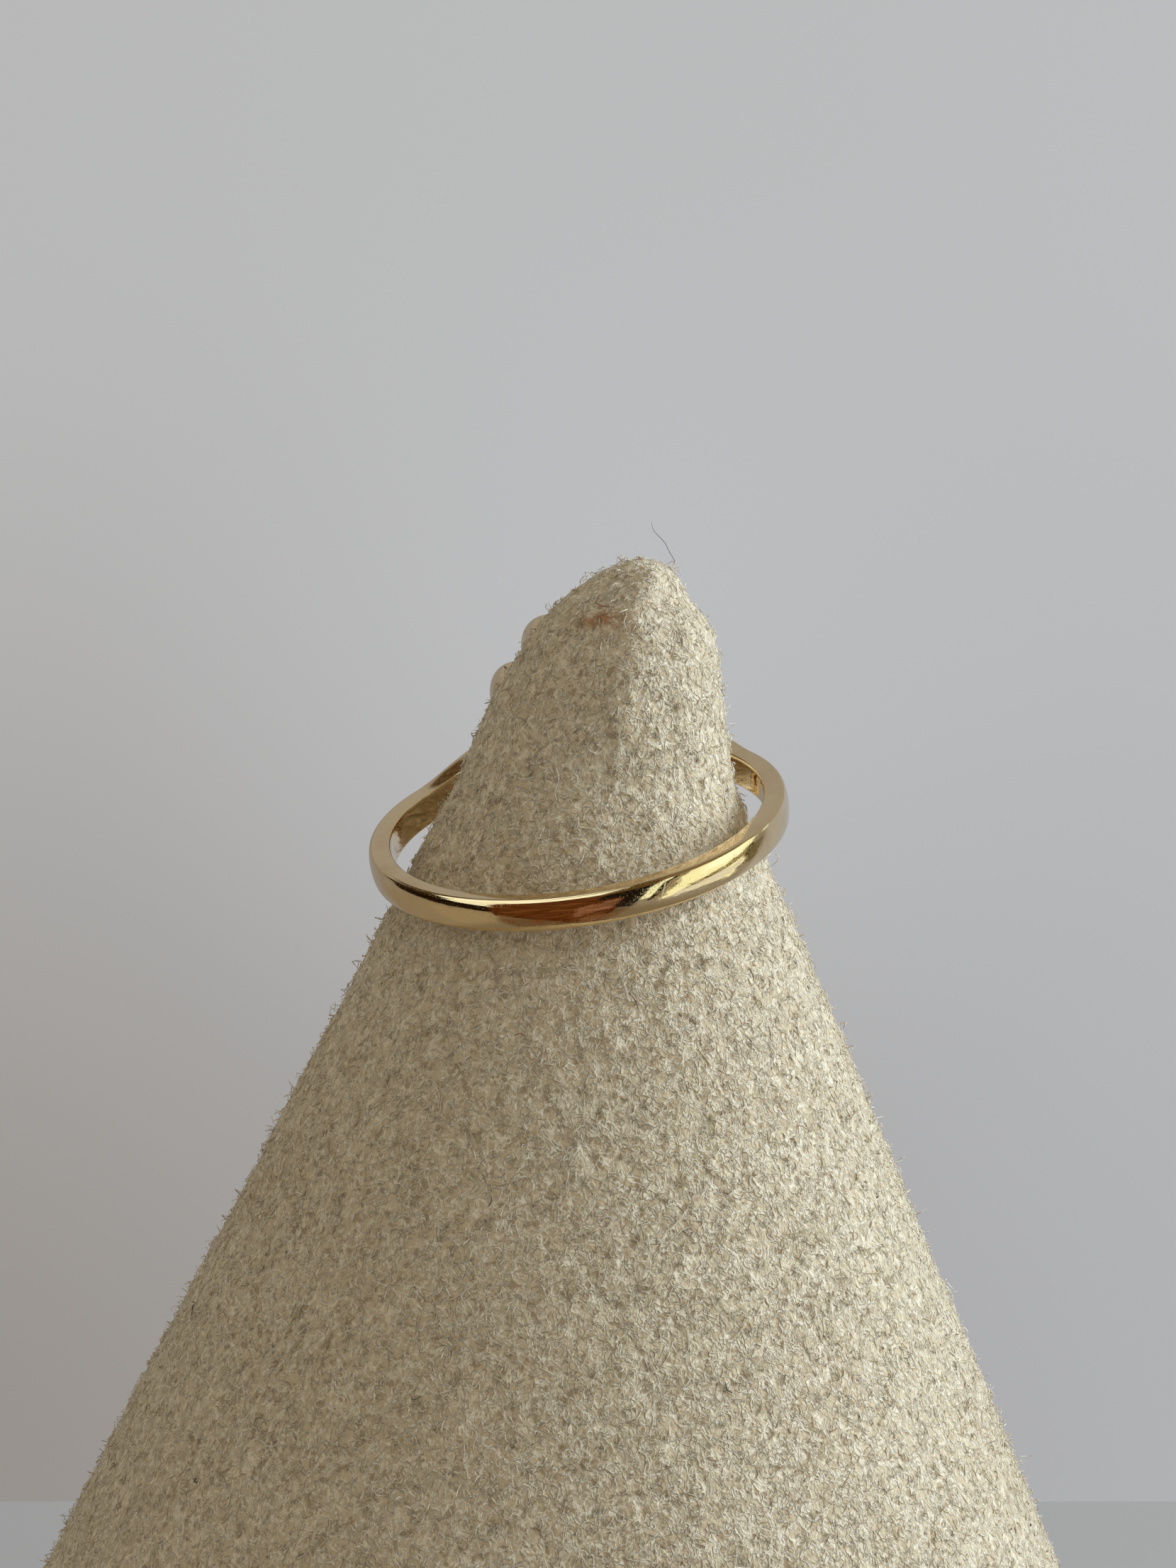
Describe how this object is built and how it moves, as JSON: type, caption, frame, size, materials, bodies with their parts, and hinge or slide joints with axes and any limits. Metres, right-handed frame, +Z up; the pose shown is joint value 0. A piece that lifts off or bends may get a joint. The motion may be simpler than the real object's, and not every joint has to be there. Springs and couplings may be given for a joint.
{
  "type": "cluster ring on display cone",
  "caption": "Gold cluster ring with a slim shank, forked shoulders and an oval head of faceted stones, tilted on a suede-covered display cone with a slanted tip.",
  "frame": {"origin": "centre of the display cone's flat base, on the surface it stands on", "axes": "+Z up out of the base, +Y towards the ring's head, -Y towards the back of the shank"},
  "size_m": [0.0589, 0.059, 0.0603],
  "materials": {
    "gold": "polished 9 carat yellow gold with fine wear scratches",
    "stone": "polished dark red faceted stone",
    "suede": "cream suede cloth with short curly fibres"
  },
  "bodies": {
    "root": {"ring_mount": "gold", "centre_stone": "stone", "outer_stone_1": "stone", "outer_stone_2": "stone", "outer_stone_3": "stone", "outer_stone_4": "stone", "outer_stone_5": "stone", "outer_stone_6": "stone", "outer_stone_7": "stone", "outer_stone_8": "stone", "outer_stone_9": "stone", "outer_stone_10": "stone", "display_cone": "suede"}
  },
  "joints": []
}
